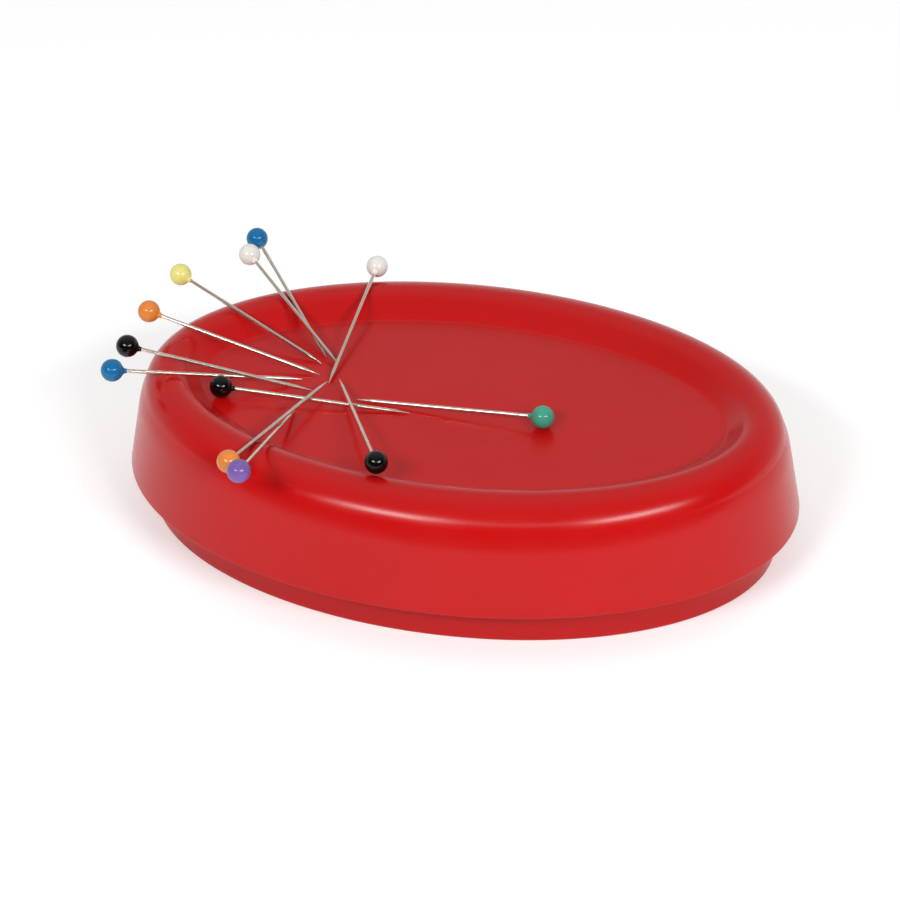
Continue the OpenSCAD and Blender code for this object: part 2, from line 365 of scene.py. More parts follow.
def bump(tree, height, distance=1.0):
    """A surface tilted by a height in metres, or by a share of a distance in metres."""
    return add_node(
        tree, "ShaderNodeBump", {"Height": height, "Distance": distance, "Strength": 1.0}
    ).outputs[0]


# %% [markdown]
# Pins dropped in the dish leave hair-fine scratches. They run in every direction but are straight
# and short, so they are drawn as the narrow valleys of three stretched noises that cross at an angle,
# and they fade out above the dish, where no point ever drags. Real grooves would be far finer than
# the mesh, so they go into the bump. The floor of the dish is also a touch paler than the rest: partly
# for its wear, and partly as painted light on the flat that faces up.

# %% Red plastic
SHELL_RED = (0.495, 0.0042, 0.0046)
COVER_RED = (0.480, 0.0042, 0.0046)
SHELL_ROUGHNESS = 0.225
COVER_ROUGHNESS = 0.22
PLASTIC_IOR = 1.34
CLOUDS_TO_METRE = 45
WAVES_TO_METRE = 140
WAVINESS = 0.000007
GRAINS_TO_METRE = 5200
GRAIN = 0.0000012
SCRATCH = 0.0000025
SCRATCH_STRETCH = 26
SCRATCHES_TO_METRE = 260
SCRATCH_ANGLES = (24, 71, 118)
SCRATCHED_UP_TO = 0.0004
PALER_BY_LIGHT_AND_WEAR = 1.03
PALER_UP_TO = 0.0012


def scratches(tree, place, angle):
    """Height of fine straight scratches that run at an angle across the piece."""
    drawn_out = add_node(
        tree,
        "ShaderNodeMapping",
        {"Vector": place, "Rotation": (0, 0, math.radians(angle)), "Scale": (1, SCRATCH_STRETCH, 1)},
    )
    lines = noise(tree, drawn_out.outputs[0], SCRATCHES_TO_METRE, detail=1.0)
    return remap(tree, lines, 0.0, 1.0, from_low=0.30, from_high=0.335)


def red_plastic(name, colour, roughness, worn_and_painted_light_below=None):
    """Moulded red plastic. Below a height: scratches, and a paler colour for wear and painted light."""
    material, tree, shader, place = new_material(name)
    clouds = noise(tree, place, CLOUDS_TO_METRE)
    mould = noise(tree, place, WAVES_TO_METRE, detail=2.0)
    grain = noise(tree, place, GRAINS_TO_METRE, detail=2.0)
    depth_of_colour = remap(tree, clouds, 0.97, 1.03)
    tree.links.new(remap(tree, mould, roughness - 0.02, roughness + 0.03), shader.inputs["Roughness"])
    shader.inputs["IOR"].default_value = PLASTIC_IOR
    height = maths(tree, "MULTIPLY_ADD", grain, GRAIN, maths(tree, "MULTIPLY", mould, WAVINESS))
    if worn_and_painted_light_below is not None:
        up = add_node(tree, "ShaderNodeSeparateXYZ", {"Vector": place}).outputs["Z"]
        worn = remap(tree, up, SCRATCH, 0.0, worn_and_painted_light_below, worn_and_painted_light_below + SCRATCHED_UP_TO)
        for angle in SCRATCH_ANGLES:
            height = maths(tree, "MULTIPLY_ADD", scratches(tree, place, angle), worn, height)
        # Painted light: the dish floor is painted paler than the rim, partly for its wear.
        paler = remap(tree, up, PALER_BY_LIGHT_AND_WEAR, 1.0, worn_and_painted_light_below, worn_and_painted_light_below + PALER_UP_TO)
        depth_of_colour = maths(tree, "MULTIPLY", depth_of_colour, paler)
    tree.links.new(tinted(tree, colour, depth_of_colour), shader.inputs["Base Color"])
    tree.links.new(bump(tree, height), shader.inputs["Normal"])
    return material


# %% [markdown]
# The shell's section runs from the flat of the dish up a small fillet and a plain slope, over the
# round rim, down the leaning skirt to its rounded lower edge, and back inside. Its outer sizes are
# read from the construction model. The shoulder turns in two arcs, a tight one that carries the
# highlight and a slacker one that fades into the skirt, and the slope inside is gentle enough not to
# catch the lamps. Bevels on the construction model could round its edges, but here every radius
# stays a number.

# %% The shell's section
RIM_RADIUS = 0.006
SHOULDER_RADIUS = 0.0057
FADE_RADIUS = 0.014
FADE_FROM = 25
INNER_SLOPE = 38
DISH_BLEND = 0.0008
SKIRT_DROP = 0.0003
SKIRT_DRAFT = 10.5
DISH_DEPTH = 0.0032
DISH_FILLET = 0.0012
WALL = 0.002
EDGE_RADIUS = 0.00015
FLAT_MARGIN = 0.0004
FILLET_STEPS = 10
CREST_STEPS = 16
SHOULDER_STEPS = 28
FADE_STEPS = 12
INSIDE_STEPS = 24

shell_low, shell_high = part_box("bowl_rim")
HALF_LENGTH = shell_high.x
HALF_WIDTH = shell_high.y
SKIRT_Z = shell_low.z - SKIRT_DROP
DISH_Z = shell_high.z - DISH_DEPTH
UNDER_Z = DISH_Z - WALL


def shell_section():
    """The section, and which of its points end the dish's fillet and begin the fade."""
    draft = math.radians(SKIRT_DRAFT)
    rim_z = shell_high.z - RIM_RADIUS
    rim_in = (rim_z - SKIRT_Z) * math.tan(draft) + RIM_RADIUS / math.cos(draft)
    rise = DISH_Z + DISH_FILLET - rim_z
    fillet_in = rim_in + math.sqrt((RIM_RADIUS + DISH_FILLET) ** 2 - rise**2)
    slope = math.radians(INNER_SLOPE)
    bends = (fillet_in - rim_in - DISH_DEPTH / math.tan(slope)) / math.tan(slope / 2)
    crest_radius = bends - DISH_BLEND
    fillet_z = DISH_Z + DISH_BLEND
    fillet = arc((fillet_in, fillet_z), DISH_BLEND, -90, -90 - INNER_SLOPE, FILLET_STEPS)
    crest_z = shell_high.z - crest_radius
    crest = arc((rim_in, crest_z), crest_radius, 90 - INNER_SLOPE, 90, CREST_STEPS)
    inward = fillet + crest

    shoulder_z = shell_high.z - SHOULDER_RADIUS
    turn = 180 - FADE_FROM
    shoulder = arc((rim_in, shoulder_z), SHOULDER_RADIUS, 90, turn, SHOULDER_STEPS)
    way = math.radians(turn)
    shift = FADE_RADIUS - SHOULDER_RADIUS
    fade_centre = (rim_in - shift * math.cos(way), shoulder_z - shift * math.sin(way))
    fade = arc(fade_centre, FADE_RADIUS, turn, 180 - SKIRT_DRAFT, FADE_STEPS)
    outward = shoulder[1:] + fade[1:]

    inner_radius = RIM_RADIUS - WALL
    under = math.degrees(math.asin((UNDER_Z - rim_z) / inner_radius))
    foot_in = WALL / math.cos(draft)
    inside = arc((rim_in, rim_z), inner_radius, 180 - SKIRT_DRAFT, under, INSIDE_STEPS)
    section = (
        [(fillet_in + FLAT_MARGIN, DISH_Z)]
        + inward
        + outward
        + corner((0, SKIRT_Z), outward[-1], (foot_in, SKIRT_Z), EDGE_RADIUS)
        + corner((foot_in, SKIRT_Z), (0, SKIRT_Z), inside[0], EDGE_RADIUS)
        + inside
        + [(inside[-1][0] + FLAT_MARGIN, UNDER_Z)]
    )
    return section, len(fillet), len(inward) + len(shoulder)


shell_cut, fillet_end, fade_start = shell_section()
print("shell section:", len(shell_cut), "points")

# %% [markdown]
# On the real bowl the rim is a little narrower at the ends, so the dish is longer than an even rim
# would leave it. A section that changes on its way round could do that, but the tree carries one
# section all the way. So the finished skin is drawn out lengthwise afterwards: wholly over the dish,
# less and less over the rim, and not at all on the skirt.

# %% Shell skin
LONGER_DISH = 0.0019
OVAL_STEPS = 288


def lengthened(skin, section, fillet_end, fade_start):
    """Draws the dish out at its ends. The shift dies away from its fillet to the shoulder's end."""
    reach = [0.0]
    for before, after in zip(section, section[1:]):
        reach.append(reach[-1] + math.dist(before, after))
    start, stop = reach[fillet_end], reach[fade_start]
    along = skin.data.attributes["along"].data
    dish_half = HALF_LENGTH - section[0][0]
    for vertex, distance in zip(skin.data.vertices, along):
        share = max(0.0, min(1.0, (stop - distance.value) / (stop - start)))
        vertex.co.x *= 1 + share * LONGER_DISH / dish_half


shell_plastic = red_plastic("red_shell_plastic", SHELL_RED, SHELL_ROUGHNESS, worn_and_painted_light_below=DISH_Z)
shell_skin = swept("shell_skin", shell_cut, HALF_LENGTH, HALF_WIDTH, OVAL_STEPS, shell_plastic)
lengthened(shell_skin, shell_cut, fillet_end, fade_start)
print("shell skin:", len(shell_skin.data.polygons), "faces")

# %% [markdown]
# Inside, the shell has a collar round each magnet and a socket for each of the base's four pegs.
# They are hidden once the bowl is closed, but a bowl that is lifted apart shows them. Their places
# could be typed in, but are measured on the construction model, so they stay right if it changes: a
# peg's top is the highest part of the base, and a magnet's box gives its middle and its radius.

# %% Places of the pegs and magnets
PEG_LENGTH = 0.006
PEG_FACE_DEPTH = 0.00001
PEG_REACH = 0.01
PEG_GAP = 0.00005
PEG_END_GAP = 0.0003
SOCKET_WALL = 0.0015
COLLAR_WALL = 0.0014
COLLAR_HEIGHT = 0.004
MAGNET_GAP = 0.00015

cover_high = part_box("base_wall")[1]
PEG_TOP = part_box("base_floor")[1].z
floor_points = [v.co for v in nodes["base_floor"].data.vertices]
peg_points = [p for p in floor_points if p.z > PEG_TOP - PEG_FACE_DEPTH]


def middle_of(points):
    """The middle and the radius of a round patch of points, seen from above."""
    lows = [min(p[k] for p in points) for k in range(2)]
    highs = [max(p[k] for p in points) for k in range(2)]
    return ((lows[0] + highs[0]) / 2, (lows[1] + highs[1]) / 2), (highs[0] - lows[0]) / 2


pegs = [
    middle_of([p for p in peg_points if p.x * way[0] + p.y * way[1] > PEG_REACH])
    for way in ((1, 0), (-1, 0), (0, 1), (0, -1))
]
PEG_PLACES = [place for place, radius in pegs]
PEG_RADIUS = pegs[0][1]
PEG_SHOULDER_Z = PEG_TOP - PEG_LENGTH
MAGNETS = [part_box("left_magnet"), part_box("right_magnet")]
print("pegs at", PEG_PLACES, "of radius", round(PEG_RADIUS, 5))

# %% [markdown]
# A collar and a socket are moulded in one with the dish. Holes could be cut with booleans, which
# leave ragged edges to clean up. Here each is one small section swept round a circle, rooted a little
# way into the plate above it, and all of them become one object with the shell's skin.

# %% Collars and sockets under the dish
BROKEN_EDGE = 0.0002
ROOTED = 0.0005


def tube(outer, inner, low, high, edge=BROKEN_EDGE):
    """A tube's wall, with its lower end broken. Its upper end runs into what carries it."""
    return [
        (inner, high),
        (inner, low + edge),
        (inner + edge, low),
        (outer - edge, low),
        (outer, low + edge),
        (outer, high),
        (inner, high),
    ]


def joined(name, pieces):
    """One object from several, with the first one's material."""
    whole = bmesh.new()
    for piece in pieces:
        whole.from_mesh(piece.data)
    mesh = pieces[0].data.copy()
    whole.to_mesh(mesh)
    whole.free()
    for piece in pieces:
        bpy.data.objects.remove(piece)
    mesh.name = name
    result = bpy.data.objects.new(name, mesh)
    bpy.context.scene.collection.objects.link(result)
    return result


def middle_and_radius(low, high):
    """The middle and the radius of a round piece, from its box."""
    return ((low.x + high.x) / 2, (low.y + high.y) / 2, 0), (high.x - low.x) / 2


shell_parts = [shell_skin]
for k, (low, high) in enumerate(MAGNETS):
    middle, radius = middle_and_radius(low, high)
    inner = radius + MAGNET_GAP
    wall = tube(inner + COLLAR_WALL, inner, high.z - COLLAR_HEIGHT, high.z + ROOTED)
    shell_parts.append(turned(f"collar_{k}", wall, shell_plastic, place=middle))
for k, (x, y) in enumerate(PEG_PLACES):
    inner = PEG_RADIUS + PEG_GAP
    roof = PEG_TOP + PEG_END_GAP
    outer = inner + SOCKET_WALL
    socket = [(0, roof), (inner, roof), (inner, PEG_SHOULDER_Z), (outer, PEG_SHOULDER_Z)]
    socket += [(outer, UNDER_Z + ROOTED), (0, UNDER_Z + ROOTED)]
    shell_parts.append(turned(f"socket_{k}", socket, shell_plastic, place=(x, y, 0)))
shell = joined("shell_moulding", shell_parts)
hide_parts("bowl_rim", "bowl_dish")
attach(shell, "bowl")
print("shell moulding:", len(shell.data.polygons), "faces")

# %% [markdown]
# The base is an oval tray that stands inside the skirt. Only its lower strip shows, so its foot gets
# a small rounding that catches the light off the table. Four pegs rise from its floor into the
# shell's sockets, and two hollow stands carry the foam pads that press the magnets up. A box with
# bevelled edges could stand for the strip, but the swept section follows the same oval as the shell.

# %% Base
COVER_WALL = 0.002
COVER_HEIGHT = 0.014
FOOT_RADIUS = 0.0006
PEG_CHAMFER = 0.0003
STAND_WALL = 0.0016
cover_plastic = red_plastic("red_base_plastic", COVER_RED, COVER_ROUGHNESS)


def cover_section():
    """From the floor's upper face up the inside of the wall, over its top and down to the foot."""
    along_floor = (2 * COVER_WALL, COVER_WALL)
    floor_corner = (COVER_WALL, COVER_WALL)
    inner_top = (COVER_WALL, COVER_HEIGHT)
    outer_top = (0, COVER_HEIGHT)
    foot = (0, 0)
    return (
        [(COVER_WALL + EDGE_RADIUS + FLAT_MARGIN, COVER_WALL)]
        + corner(floor_corner, along_floor, inner_top, EDGE_RADIUS)
        + corner(inner_top, floor_corner, outer_top, EDGE_RADIUS)
        + corner(outer_top, inner_top, foot, EDGE_RADIUS)
        + corner(foot, outer_top, (COVER_WALL, 0), FOOT_RADIUS)
        + [(FOOT_RADIUS + FLAT_MARGIN, 0)]
    )


def peg_profile():
    """A peg from its chamfered top down to the shoulder that the socket rests on, and to its root."""
    shoulder = PEG_RADIUS + PEG_GAP + SOCKET_WALL
    return [
        (0, PEG_TOP),
        (PEG_RADIUS - PEG_CHAMFER, PEG_TOP),
        (PEG_RADIUS, PEG_TOP - PEG_CHAMFER),
        (PEG_RADIUS, PEG_SHOULDER_Z),
        (shoulder, PEG_SHOULDER_Z),
        (shoulder, COVER_WALL - ROOTED),
        (0, COVER_WALL - ROOTED),
    ]


tray = swept("base_tray", cover_section(), cover_high.x, cover_high.y, OVAL_STEPS, cover_plastic)
cover_parts = [tray]
for k, (x, y) in enumerate(PEG_PLACES):
    cover_parts.append(turned(f"peg_{k}", peg_profile(), cover_plastic, place=(x, y, 0)))
for k, side in enumerate(("left", "right")):
    low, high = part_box(f"{side}_foam_pad")
    middle, radius = middle_and_radius(low, high)
    wall = tube(radius, radius - STAND_WALL, COVER_WALL - ROOTED, low.z, edge=0.0)
    cover_parts.append(turned(f"stand_{k}", wall, cover_plastic, place=middle))
base = joined("base_moulding", cover_parts)
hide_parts("base_wall", "base_floor")
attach(base, "bowl")
print("base moulding:", len(base.data.polygons), "faces")

# %% [markdown]
# The magnets are pressed and fired ferrite, ground on their faces: a dull charcoal with a fine
# speckle and slightly broken edges. The pads under them are closed-cell foam, which shows as small
# round pits and sides that swell a little where they are squeezed. The pits could be modelled, but
# they are too small to change the outline, so a pattern of cells in the bump is enough, and painted
# shade darkens the bottom of each pit.

# %% Ferrite and foam
FERRITE_GREY = (0.035, 0.035, 0.038)
FOAM_GREY = (0.17, 0.17, 0.175)
SPECKLES_TO_METRE = 2400
SPECKLE_DEPTH = 0.00002
SMEARS_TO_METRE = 500
CELLS_TO_METRE = 1500.0
PIT_DEPTH = 0.0001
MAGNET_CHAMFER = 0.0005
FOAM_BULGE = 0.0003
SIDE_STEPS = 8


def ferrite():
    """Fired and ground ferrite: dark, dull and speckled."""
    material, tree, shader, place = new_material("ferrite")
    speckle = noise(tree, place, SPECKLES_TO_METRE, detail=4.0)
    colour = tinted(tree, FERRITE_GREY, remap(tree, speckle, 0.6, 1.5))
    smears = noise(tree, place, SMEARS_TO_METRE)
    tree.links.new(colour, shader.inputs["Base Color"])
    tree.links.new(remap(tree, smears, 0.5, 0.7), shader.inputs["Roughness"])
    tree.links.new(bump(tree, speckle, SPECKLE_DEPTH), shader.inputs["Normal"])
    return material


def foam():
    """Closed-cell foam: grey and matte, with pits, and painted shade darker towards their bottoms."""
    material, tree, shader, place = new_material("closed_cell_foam")
    cells = add_node(tree, "ShaderNodeTexVoronoi", {"Vector": place, "Scale": CELLS_TO_METRE})
    pit_depth_and_shade = remap(tree, cells.outputs["Distance"], 0.0, 1.0, from_low=0.1, from_high=0.6)
    # Painted shade: the colour darkens towards the bottom of each pit.
    colour = tinted(tree, FOAM_GREY, remap(tree, pit_depth_and_shade, 0.75, 1.15, 0, 1))
    tree.links.new(colour, shader.inputs["Base Color"])
    shader.inputs["Roughness"].default_value = 0.9
    tree.links.new(bump(tree, pit_depth_and_shade, PIT_DEPTH), shader.inputs["Normal"])
    return material


def disc_profile(radius, low, high, edge, bulge=0.0):
    """A disc with broken edges, and sides that may swell out in the middle."""
    span = high - low - 2 * edge
    face = radius - edge - bulge
    side = []
    for k in range(SIDE_STEPS + 1):
        swell = bulge * (1 - math.sin(math.pi * k / SIDE_STEPS))
        side.append((radius - swell, high - edge - span * k / SIDE_STEPS))
    return [(0, high), (face, high)] + side + [(face, low), (0, low)]


ferrite_material = ferrite()
foam_material = foam()
for side in ("left", "right"):
    for kind, finish, slot, edge, bulge in (
        ("magnet", ferrite_material, "ferrite", MAGNET_CHAMFER, 0.0),
        ("foam_pad", foam_material, "foam", FOAM_BULGE / 2, FOAM_BULGE),
    ):
        low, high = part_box(f"{side}_{kind}")
        middle, radius = middle_and_radius(low, high)
        profile = disc_profile(radius, low.z, high.z, edge, bulge)
        piece = turned(f"{side}_{kind}_finished", profile, finish, place=middle)
        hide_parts(f"{side}_{kind}")
        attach(piece, "bowl")
print("magnets and pads made")

# %% [markdown]
# Each pin is a length of drawn steel wire, ground to a point, with a plastic ball moulded on its
# other end. Twelve places and angles could be written out by hand, but the construction model holds
# them already: the small ring at a wire's point and the large ring at its other end give the line it
# lies on, and every part of the pin is then made along the vertical and turned onto that line.

# %% Lines of the pins
WIRE_RADIUS = 0.0003
TIP_RADIUS = 0.00005
WIRE_LENGTH = 0.0303
POINT_LENGTH = 0.0027
BALL_RADIUS = 0.0018
BALL_MIDDLE = 0.0302
NECK_END = -0.0023
IN_HEAD = 0.0024
RING_DEPTH = 0.00004


def middle_and_size(points):
    """The middle of a ring of points and how wide it is."""
    low = Vector([min(p[k] for p in points) for k in range(3)])
    high = Vector([max(p[k] for p in points) for k in range(3)])
    return (low + high) / 2, (high - low).length


def pin_line(shank):
    """The pin's point, and the turn that lays the vertical along the pin."""
    points = [v.co for v in nodes[shank].data.vertices]
    one = max(points, key=lambda p: (p - points[0]).length)
    other = max(points, key=lambda p: (p - one).length)
    line = (other - one).normalized()
    rings = [[p for p in points if abs((p - end).dot(line)) < RING_DEPTH] for end in (one, other)]
    ends = sorted((middle_and_size(ring) for ring in rings), key=lambda end: end[1])
    tip, top = ends[0][0], ends[1][0]
    way = (top - tip).normalized()
    return tip, way, (0, math.acos(way.z), math.atan2(way.y, way.x))


pin_names = sorted(name[: -len("_shank")] for name in nodes if name.endswith("_shank"))
pin_lines = {name: pin_line(name + "_shank") for name in pin_names}
for name, (_, _, turn) in pin_lines.items():
    print(name, "lies at", round(90 - math.degrees(turn[1]), 2), "degrees from level")

# %% [markdown]
# The wire is bright nickel-plated steel. Drawing it through a die leaves fine marks along its
# length, and grinding the point leaves finer ones round it. The sweeping tree wrote down the place
# round the wire and the distance along its section, so the marks are noises stretched along one or
# the other: no UV map is needed, and the marks turn with each pin.

# %% Steel
WIRE_COLOUR = (0.69, 0.60, 0.52)
DRAWN_MARKS = 5.5
DRAWN_STRETCH = 90.0
DRAWN_DEPTH = 0.0000004
GROUND_RINGS_TO_METRE = 24000
GROUND_DEPTH = 0.000001
GROUND_FADE = 0.0001
SMUDGES_TO_METRE = 700


def wire_steel():
    """Plated steel wire with drawing marks along it and grinding marks round its point."""
    material, tree, shader, place = new_material("drawn_steel")
    around = add_node(tree, "ShaderNodeAttribute", attribute_name="round").outputs["Vector"]
    along = add_node(tree, "ShaderNodeAttribute", attribute_name="along").outputs["Fac"]
    stretched = maths(tree, "MULTIPLY", along, DRAWN_STRETCH)
    lifted = add_node(tree, "ShaderNodeCombineXYZ", {"Z": stretched}).outputs[0]
    drawn_place = add_node(
        tree, "ShaderNodeVectorMath", {0: around, 1: lifted}, operation="ADD"
    ).outputs[0]
    drawn = noise(tree, drawn_place, DRAWN_MARKS, detail=4.0, roughness=0.65)
    rings = add_node(tree, "ShaderNodeCombineXYZ", {"Z": along}).outputs[0]
    ground = noise(tree, rings, GROUND_RINGS_TO_METRE, detail=2.0)
    at_point = remap(tree, along, 1.0, 0.0, POINT_LENGTH, POINT_LENGTH + GROUND_FADE)
    height = maths(tree, "MULTIPLY", ground, maths(tree, "MULTIPLY", at_point, GROUND_DEPTH))
    height = maths(tree, "MULTIPLY_ADD", drawn, DRAWN_DEPTH, height)
    smudges = noise(tree, place, SMUDGES_TO_METRE)
    colour = tinted(tree, WIRE_COLOUR, remap(tree, smudges, 0.94, 1.04))
    tree.links.new(colour, shader.inputs["Base Color"])
    tree.links.new(remap(tree, drawn, 0.22, 0.27), shader.inputs["Roughness"])
    tree.links.new(bump(tree, height), shader.inputs["Normal"])
    shader.inputs["Metallic"].default_value = 1.0
    return material


steel = wire_steel()
print("steel made of", len(steel.node_tree.nodes), "nodes")

# %% [markdown]
# A ground point is a long slim cone with a tiny rounding at its very tip, and it is eased where it
# meets the plain wire. A bare cone would do from afar, but up close the light on it would stop at a
# hard line, so the profile has a point or two more at each end of the cone.

# %% Wires
TIP_FLAT = 0.7
TIP_ROUNDING = 0.00001
TIP_HEIGHT = 0.00005
TAPER_EASE = 0.00002
TAPER_EASE_LENGTH = 0.0002


def wire_profile():
    """The rounded tip, the ground taper and the plain wire up to its end in the head."""
    return [
        (0, 0),
        (TIP_RADIUS * TIP_FLAT, TIP_ROUNDING),
        (TIP_RADIUS, TIP_HEIGHT),
        (WIRE_RADIUS - TAPER_EASE, POINT_LENGTH - TAPER_EASE_LENGTH),
        (WIRE_RADIUS, POINT_LENGTH),
        (WIRE_RADIUS, WIRE_LENGTH),
        (0, WIRE_LENGTH),
    ]


for name, (tip, _, turn) in pin_lines.items():
    wire = turned(name + "_wire", wire_profile(), steel, place=tip, turn=turn, steps=24)
    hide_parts(name + "_shank")
    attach(wire, name)
print(len(pin_lines), "wires of", len(wire.data.polygons), "faces")

# %% [markdown]
# The ball is moulded round the end of the wire. The mould leaves a little neck where the wire goes
# in, which flares into the ball, and a faint witness line round the ball where its halves meet. A
# plain sphere would be simpler, but it has no neck. The section gives both: the neck is part of it,
# and the witness line lies at the distance along it where the ball is widest.

# %% Shape of a head
NECK_RADIUS = 0.00038
NECK_EDGE = 0.00004
NECK_STEPS = 3
FLARE_RADIUS = 0.0006
FLARE_STEPS = 8
BALL_STEPS = 36


def head_profile():
    """Radius and height above the ball's middle, from the bottom of its bore out and up to its top."""
    reach = BALL_RADIUS + FLARE_RADIUS
    flare_x = NECK_RADIUS + FLARE_RADIUS
    flare = (flare_x, -math.sqrt(reach**2 - flare_x**2))
    meet = math.degrees(math.atan2(flare[1], flare[0]))
    bore_top = NECK_END + IN_HEAD
    neck_face = NECK_RADIUS - NECK_EDGE
    return (
        [(0, bore_top), (WIRE_RADIUS, bore_top), (WIRE_RADIUS, NECK_END), (neck_face, NECK_END)]
        + arc((neck_face, NECK_END + NECK_EDGE), NECK_EDGE, -90, 0, NECK_STEPS)[1:]
        + arc(flare, FLARE_RADIUS, 180, 180 + meet, FLARE_STEPS)
        + arc((0, 0), BALL_RADIUS, meet, 90, BALL_STEPS)[1:]
    )


def length_to_equator(profile):
    """How far along the profile the ball is widest. The sweep's own supports don't change it."""
    widest = max(range(len(profile)), key=lambda k: profile[k][0])
    return sum(math.dist(profile[k], profile[k + 1]) for k in range(widest))


WITNESS_PLACE = length_to_equator(head_profile())
print("the ball is widest", round(WITNESS_PLACE, 5), "metres along its section")

# %% [markdown]
# The plastic of the heads is opaque and hard, with a deep gloss and a mould's faint unevenness. Seven
# colours of it could be seven materials made by hand, but one function makes them all alike, so only
# the colour differs.

# %% Ball heads
HEAD_COLOURS = {
    "blue": (0.006, 0.147, 0.35),
    "white": (0.80, 0.785, 0.745),
    "yellow": (0.79, 0.725, 0.225),
    "orange": (0.74, 0.235, 0.045),
    "black": (0.0015, 0.0015, 0.0018),
    "purple": (0.19, 0.105, 0.35),
    "green": (0.055, 0.34, 0.235),
}
HEAD_IOR = 1.38
SWIRLS_TO_METRE = 420
SKIN_WAVES_TO_METRE = 1400
HEAD_WAVINESS = 0.000006
WITNESS_HEIGHT = 0.0000025
WITNESS_WIDTH = 0.00006


def head_plastic(name, colour):
    """Glossy moulded plastic in one colour, with the witness line round its middle."""
    material, tree, shader, place = new_material(name)
    swirl = noise(tree, place, SWIRLS_TO_METRE, detail=2.0)
    skin = noise(tree, place, SKIN_WAVES_TO_METRE, detail=2.0)
    shade = tinted(tree, colour, remap(tree, swirl, 0.95, 1.05))
    tree.links.new(shade, shader.inputs["Base Color"])
    tree.links.new(remap(tree, skin, 0.10, 0.16), shader.inputs["Roughness"])
    along = add_node(tree, "ShaderNodeAttribute", attribute_name="along").outputs["Fac"]
    off = maths(tree, "ABSOLUTE", maths(tree, "SUBTRACT", along, WITNESS_PLACE))
    witness = remap(tree, off, WITNESS_HEIGHT, 0.0, from_low=0.0, from_high=WITNESS_WIDTH)
    height = maths(tree, "MULTIPLY_ADD", skin, HEAD_WAVINESS, witness)
    tree.links.new(bump(tree, height), shader.inputs["Normal"])
    shader.inputs["IOR"].default_value = HEAD_IOR
    return material


finishes = {
    colour: head_plastic(colour + "_ball_plastic", shade) for colour, shade in HEAD_COLOURS.items()
}
for name, (tip, way, turn) in pin_lines.items():
    colour = name.split("_")[0]
    place = tip + way * BALL_MIDDLE
    head = turned(name + "_ball", head_profile(), finishes[colour], place, turn, steps=48)
    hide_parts(name + "_head")
    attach(head, name)
print(len(pin_lines), "heads of", len(head.data.polygons), "faces")

# %% [markdown]
# The studio is a sheet of white paper on a table, with nothing near it. The paper is a real surface
# that takes the bowl's shadow and throws light back under its rim. Its own light is too dim to read
# as the pure white of a product picture, so rays from the camera, and those mirrored or passed on
# by the object, see it a little brighter than it is. A hidden sheet that only catches the shadow
# could take its place, but would throw no light back.

# %% Paper
PAPER_WHITE = 0.90
PAPER_LIFT = 0.27
PAPER_REACH = 4.0


def sheet(name, corners, material):
    """A flat sheet with one face."""
    mesh = bpy.data.meshes.new(name)
    mesh.from_pydata(corners, [], [(0, 1, 2, 3)])
    mesh.materials.append(material)
    piece = bpy.data.objects.new(name, mesh)
    bpy.context.scene.collection.objects.link(piece)
    return piece


def paper_material():
    """Matte white paper that mirrors and the camera see a little brighter than it is."""
    material = bpy.data.materials.new("white_paper")
    material.use_nodes = True
    tree = material.node_tree
    shader = tree.nodes["Principled BSDF"]
    shader.inputs["Base Color"].default_value = (PAPER_WHITE, PAPER_WHITE, PAPER_WHITE, 1)
    shader.inputs["Roughness"].default_value = 0.9
    shader.inputs["Specular IOR Level"].default_value = 0.1
    shader.inputs["Emission Color"].default_value = (1, 1, 1, 1)
    ray = add_node(tree, "ShaderNodeLightPath").outputs
    seen = maths(tree, "MAXIMUM", ray["Is Camera Ray"], ray["Is Glossy Ray"])
    seen = maths(tree, "MAXIMUM", seen, ray["Is Transmission Ray"])
    tree.links.new(maths(tree, "MULTIPLY", seen, PAPER_LIFT), shader.inputs["Emission Strength"])
    return material


quarters = ((-1, -1), (1, -1), (1, 1), (-1, 1))
paper_corners = [(x * PAPER_REACH, y * PAPER_REACH, 0) for x, y in quarters]
paper = sheet("paper", paper_corners, paper_material())
paper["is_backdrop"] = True
print("paper laid out,", 2 * PAPER_REACH, "metres square")

# %% [markdown]
# Under the long highlight the red is deep and saturated, so the shoulder mirrors something dark
# there, low down and in front of the bowl, such as the end of the paper. Cutting the paper short
# would do it too, but would show its edge to a camera that moves. So a dark card lies on the paper.
# It is hidden from the camera and from scattered light and casts no shadow: only mirrors show it.

# %% A dark card
CARD_START = 0.13
CARD_END = 0.9
CARD_HALF_WIDTH = 0.6
CARD_LIFT = 0.0005
CARD_BLACK = (0.02, 0.02, 0.02, 1)


def dark_card():
    """A card that lies before the bowl, below the picture, and shows only in mirrors."""
    near = Vector((view_back.x, view_back.y, 0)).normalized()
    side = Vector((-near.y, near.x, 0))
    reaches = (
        (CARD_START, -CARD_HALF_WIDTH),
        (CARD_START, CARD_HALF_WIDTH),
        (CARD_END, CARD_HALF_WIDTH),
        (CARD_END, -CARD_HALF_WIDTH),
    )
    points = [near * far + side * across for far, across in reaches]
    material = bpy.data.materials.new("black_card")
    material.use_nodes = True
    shader = material.node_tree.nodes["Principled BSDF"]
    shader.inputs["Base Color"].default_value = CARD_BLACK
    card = sheet("dark_card", [(p.x, p.y, CARD_LIFT) for p in points], material)
    card.visible_camera = False
    card.visible_diffuse = False
    card.visible_shadow = False
    card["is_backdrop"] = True


dark_card()
print("card laid", CARD_START, "metres before the bowl")

# %% [markdown]
# Each ball head shows two bright spots, so there were two soft lamps, and where the spots lie on the
# balls gives their directions: one to the left and one to the right of the camera, both a good way
# up. The long highlight doesn't go out between them, so a third, dim one stands there. The rest of
# the room is dim in front and pale behind the bowl, palest low down there, with a soft glow overhead.
# A picture of a studio could light it, but a gradient worked out from the direction needs no file.

# %% Lamps and room
LAMP_DISTANCE = 1.1
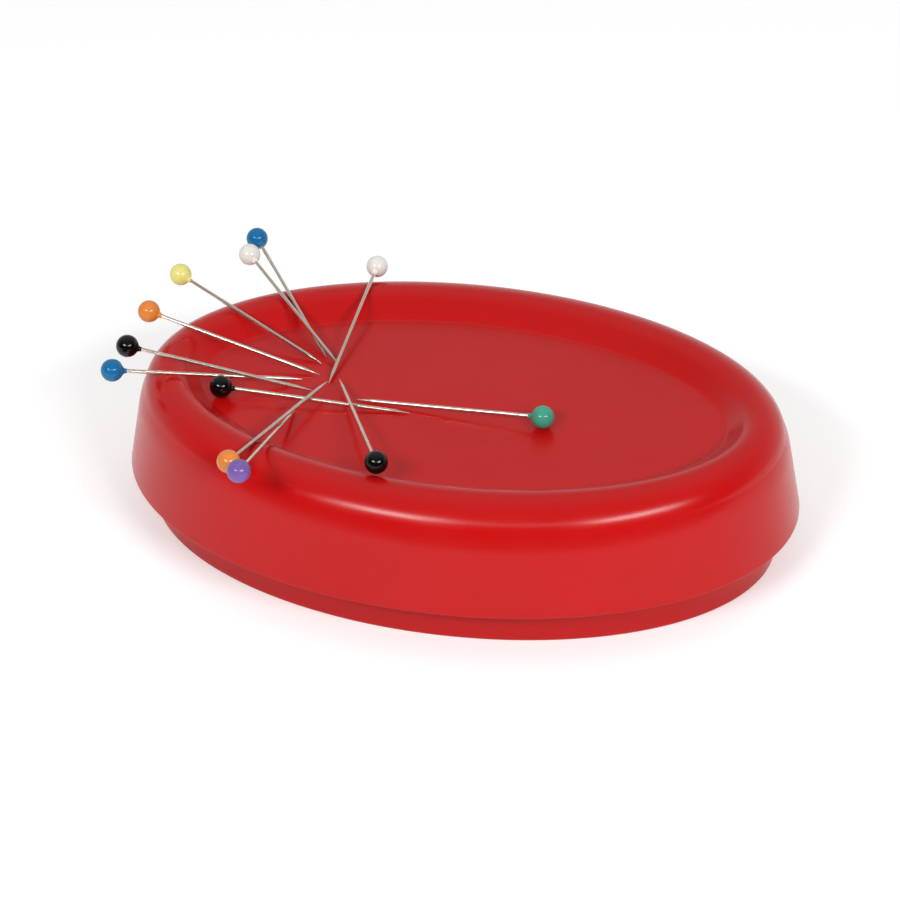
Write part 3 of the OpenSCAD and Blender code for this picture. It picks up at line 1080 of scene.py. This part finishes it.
# For each lamp: the way to it, its width and its height in metres, and its power in watts.
LAMPS = {
    "left_lamp": ((-0.300, -0.798, 0.66), 0.40, 0.16, 5.0),
    "right_lamp": ((0.620, -0.517, 0.53), 0.50, 0.16, 6.2),
    "middle_lamp": ((0.10, -0.849, 0.64), 0.70, 0.16, 0.9),
}
ROOM_FRONT = 0.03
ROOM_BACK = 0.40
BACK_BEGINS = -0.3
BACK_FULL = 0.5
ROOM_HORIZON = 0.45
HORIZON_FULL = 0.15
HORIZON_ENDS = 0.7
ROOM_TOP = 0.32
TOP_BEGINS = 0.55
TOP_FULL = 0.9

for name, (direction, wide, high, watts) in LAMPS.items():
    data = bpy.data.lights.new(name, "AREA")
    data.shape = "RECTANGLE"
    data.size = wide
    data.size_y = high
    data.energy = watts
    lamp = bpy.data.objects.new(name, data)
    away = Vector(direction).normalized()
    facing = away.to_track_quat("Z", "Y").to_matrix().to_4x4()
    lamp.matrix_world = Matrix.Translation(away * LAMP_DISTANCE) @ facing
    bpy.context.scene.collection.objects.link(lamp)


def room():
    """A world that is lit by direction: dim in front, and paler behind and overhead."""
    world = bpy.data.worlds.new("room")
    bpy.context.scene.world = world
    world.use_nodes = True
    tree = world.node_tree
    background = tree.nodes["Background"]
    direction = add_node(tree, "ShaderNodeTexCoord").outputs["Generated"]
    level_back = Vector((-view_back.x, -view_back.y, 0)).normalized()
    behind = add_node(
        tree, "ShaderNodeVectorMath", {0: direction, 1: level_back}, operation="DOT_PRODUCT"
    ).outputs["Value"]
    up = add_node(tree, "ShaderNodeSeparateXYZ", {"Vector": direction}).outputs["Z"]
    side = remap(tree, behind, 0.0, 1.0, BACK_BEGINS, BACK_FULL)
    low = remap(tree, up, ROOM_HORIZON, 0.0, HORIZON_FULL, HORIZON_ENDS)
    above = remap(tree, up, 0.0, ROOM_TOP, TOP_BEGINS, TOP_FULL)
    bright = maths(tree, "MULTIPLY_ADD", side, maths(tree, "ADD", low, ROOM_BACK), ROOM_FRONT)
    bright = maths(tree, "ADD", bright, above)
    tree.links.new(bright, background.inputs["Strength"])
    background.inputs["Color"].default_value = (1, 1, 1, 1)


room()
bpy.context.scene.view_settings.view_transform = "Standard"
print("lamps and room lit")

# %% [markdown]
# Last, the finished bowl's box is worked out from the pieces and printed. Sizes could be added up
# by hand, but the boxes of the pieces themselves can't lie.

# %% Sizes, and the end
low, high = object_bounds()
print("the finished bowl reaches from", tuple(low), "to", tuple(high))
